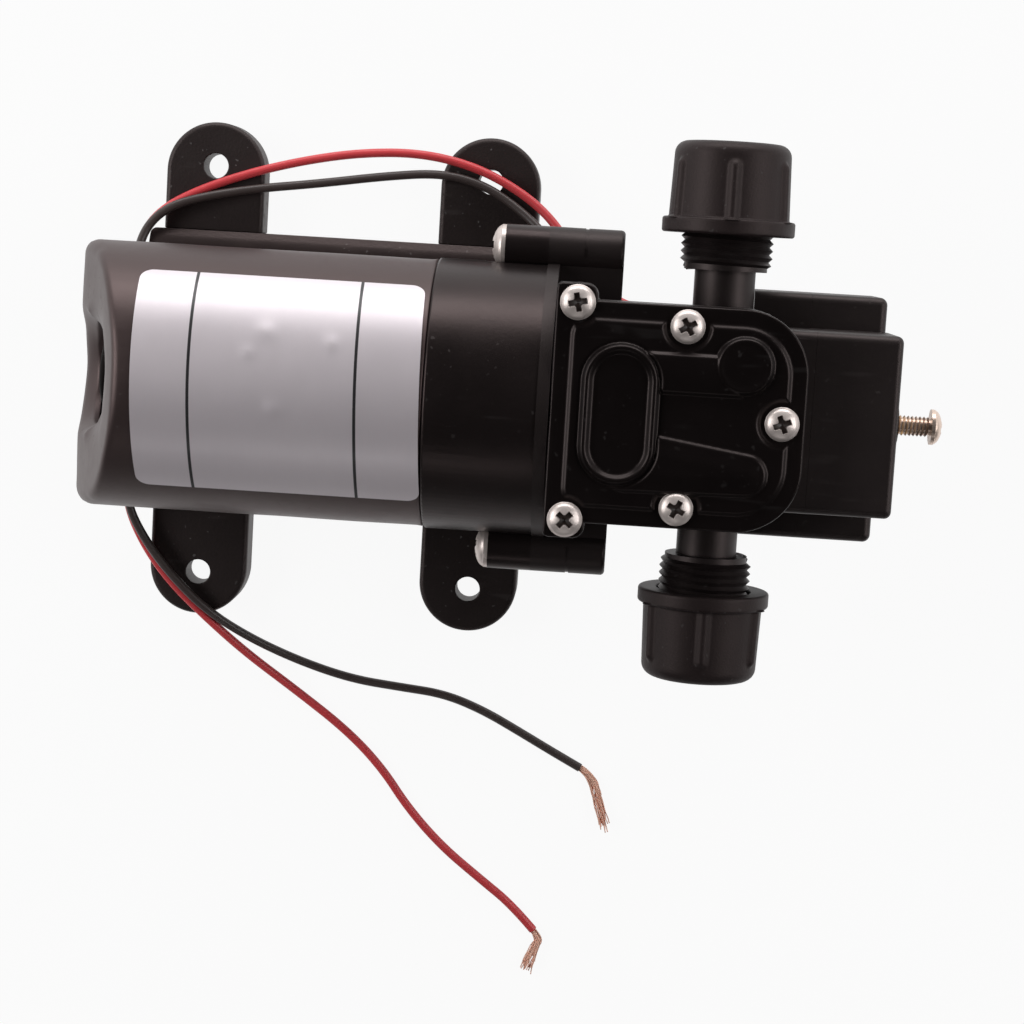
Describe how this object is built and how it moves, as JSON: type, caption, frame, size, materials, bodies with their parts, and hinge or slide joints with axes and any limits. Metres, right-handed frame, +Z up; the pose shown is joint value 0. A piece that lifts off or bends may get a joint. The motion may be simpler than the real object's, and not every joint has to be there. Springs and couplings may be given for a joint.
{
  "type": "diaphragm water pump",
  "caption": "Small 12 V diaphragm water pump: booted motor, cam driven diaphragm, valve plate and lid, capped threaded ports, adjustable pressure switch and bare wire ends.",
  "frame": {"origin": "centre of the four foot holes, on the underside of the feet", "axes": "+X along the motor shaft from the motor's rear to the pressure adjusting screw; +Y towards the inlet port; +Z up, from the feet to the lid"},
  "size_m": [0.1615, 0.1664, 0.0584],
  "materials": {
    "nylon": "moulded black nylon, fine grain",
    "boot_rubber": "soft black rubber, satin",
    "can_steel": "black painted steel",
    "bell_plastic": "moulded black",
    "bronze": "sintered bronze",
    "ferrite": "pressed ferrite",
    "carbon": "pressed carbon",
    "label_film": "satin silver film",
    "housing_paint": "black satin paint on die casting",
    "bearing_steel": "ground steel",
    "screw_steel": "bright plated steel",
    "body_plastic": "glass filled black plastic",
    "seal_rubber": "smooth black rubber",
    "shaft_steel": "ground steel",
    "enamelled_copper": "enamelled copper wire",
    "copper": "bare copper",
    "rod_plastic": "white acetal",
    "aluminium": "turned aluminium",
    "brass": "turned brass",
    "zinc_steel": "yellowish zinc plated steel",
    "switch_plastic": "black phenolic",
    "button_plastic": "red plastic",
    "red_sheath": "red soft sheath",
    "black_sheath": "black soft sheath"
  },
  "bodies": {
    "pump": {"base_plate": "nylon", "foot_rear_left": "nylon", "foot_rear_right": "nylon", "foot_front_left": "nylon", "foot_front_right": "nylon", "motor_boot": "boot_rubber", "wire_grommets": "boot_rubber", "motor_can": "can_steel", "rear_bell": "bell_plastic", "rear_bush": "bronze", "front_bush": "bronze", "field_magnets": "ferrite", "brushes": "carbon", "rating_label": "label_film", "front_housing": "housing_paint", "front_bearing": "bearing_steel", "lid_screws": "screw_steel", "body_screws": "screw_steel", "motor_screws": "screw_steel", "base_screws": "screw_steel", "switch_screws": "screw_steel", "pump_body": "body_plastic", "valve_plate": "body_plastic", "lid": "body_plastic", "switch_cover": "body_plastic", "lid_gasket": "seal_rubber", "diaphragm": "seal_rubber", "switch_diaphragm": "seal_rubber", "pressure_spring": "shaft_steel", "supply_strands_red": "copper", "supply_strands_black": "copper", "threaded_insert": "brass", "microswitch_terminals": "brass", "microswitch_body": "switch_plastic", "motor_wire_red": "red_sheath", "supply_wire_red": "red_sheath", "motor_wire_black": "black_sheath", "supply_wire_black": "black_sheath"},
    "rotor": {"motor_shaft": "shaft_steel", "armature_core": "shaft_steel", "armature_windings": "enamelled_copper", "commutator": "copper", "eccentric": "shaft_steel", "grub_screw": "screw_steel", "cam_bearing_inner": "bearing_steel"},
    "rod": {"connecting_rod": "rod_plastic", "cam_bearing_outer": "bearing_steel", "bearing_balls": "bearing_steel", "clamp_disc": "aluminium", "clamp_screw": "screw_steel"},
    "inlet_valve": {"inlet_valve": "seal_rubber"},
    "outlet_valve": {"outlet_valve": "seal_rubber"},
    "plunger": {"switch_plunger": "rod_plastic"},
    "button": {"microswitch_button": "button_plastic"},
    "spring_seat": {"spring_seat": "brass"},
    "adjusting_screw": {"adjusting_screw": "zinc_steel"},
    "inlet_cap": {"inlet_cap": "nylon"},
    "outlet_cap": {"outlet_cap": "nylon"},
    "inlet_cap_seal": {"inlet_cap_seal": "seal_rubber"},
    "outlet_cap_seal": {"outlet_cap_seal": "seal_rubber"}
  },
  "joints": [
    {"name": "rotor_spin", "type": "hinge", "parent": "pump", "child": "rotor", "pos_m": [0, 0, 0.031], "axis": [1, 0, 0], "continuous": true, "deforming": ["diaphragm"]},
    {"name": "rod_swing", "type": "hinge", "parent": "rotor", "child": "rod", "pos_m": [0.059, 0, 0.0296], "axis": [1, 0, 0], "continuous": true},
    {"name": "inlet_valve_lift", "type": "slide", "parent": "pump", "child": "inlet_valve", "axis": [0, 0, -1], "range_m": [0, 0.0008], "stiffness_N_per_m": 40, "springref_m": -0.0003},
    {"name": "outlet_valve_lift", "type": "slide", "parent": "pump", "child": "outlet_valve", "axis": [0, 0, 1], "range_m": [0, 0.0008], "stiffness_N_per_m": 40, "springref_m": -0.0003},
    {"name": "plunger_travel", "type": "slide", "parent": "pump", "child": "plunger", "axis": [1, 0, 0], "range_m": [0, 0.0008], "stiffness_N_per_m": 1500, "springref_m": -0.0004, "deforming": ["pressure_spring"]},
    {"name": "button_travel", "type": "slide", "parent": "pump", "child": "button", "axis": [1, 0, 0], "range_m": [-0.0002, 0.0012]},
    {"name": "adjuster_travel", "type": "slide", "parent": "pump", "child": "spring_seat", "axis": [1, 0, 0], "range_m": [-0.0024, 0.0007], "deforming": ["pressure_spring"]},
    {"name": "adjuster_turn", "type": "hinge", "parent": "spring_seat", "child": "adjusting_screw", "pos_m": [0.1, 0, 0.0395], "axis": [1, 0, 0], "range_deg": [-1236, 361]},
    {"name": "inlet_cap_off", "type": "slide", "parent": "pump", "child": "inlet_cap_seal", "axis": [0, 1, 0], "range_m": [0, 0.02941]},
    {"name": "inlet_cap_turn", "type": "hinge", "parent": "inlet_cap_seal", "child": "inlet_cap", "pos_m": [0.0716, 0.035, 0.038], "axis": [0, 1, 0], "range_deg": [0, 7925]},
    {"name": "outlet_cap_off", "type": "slide", "parent": "pump", "child": "outlet_cap_seal", "axis": [0, -1, 0], "range_m": [0, 0.02941]},
    {"name": "outlet_cap_turn", "type": "hinge", "parent": "outlet_cap_seal", "child": "outlet_cap", "pos_m": [0.0716, -0.035, 0.038], "axis": [0, -1, 0], "range_deg": [0, 7925]}
  ],
  "couplings": [
    {"joint": "rod_swing", "follows": "rotor_spin", "ratio": -1},
    {"joint": "button_travel", "follows": "plunger_travel", "ratio": 1},
    {"joint": "adjuster_turn", "follows": "adjuster_travel", "rad_per_m": 8976},
    {"joint": "inlet_cap_turn", "follows": "inlet_cap_off", "rad_per_m": 4699.5},
    {"joint": "outlet_cap_turn", "follows": "outlet_cap_off", "rad_per_m": 4699.5}
  ]
}
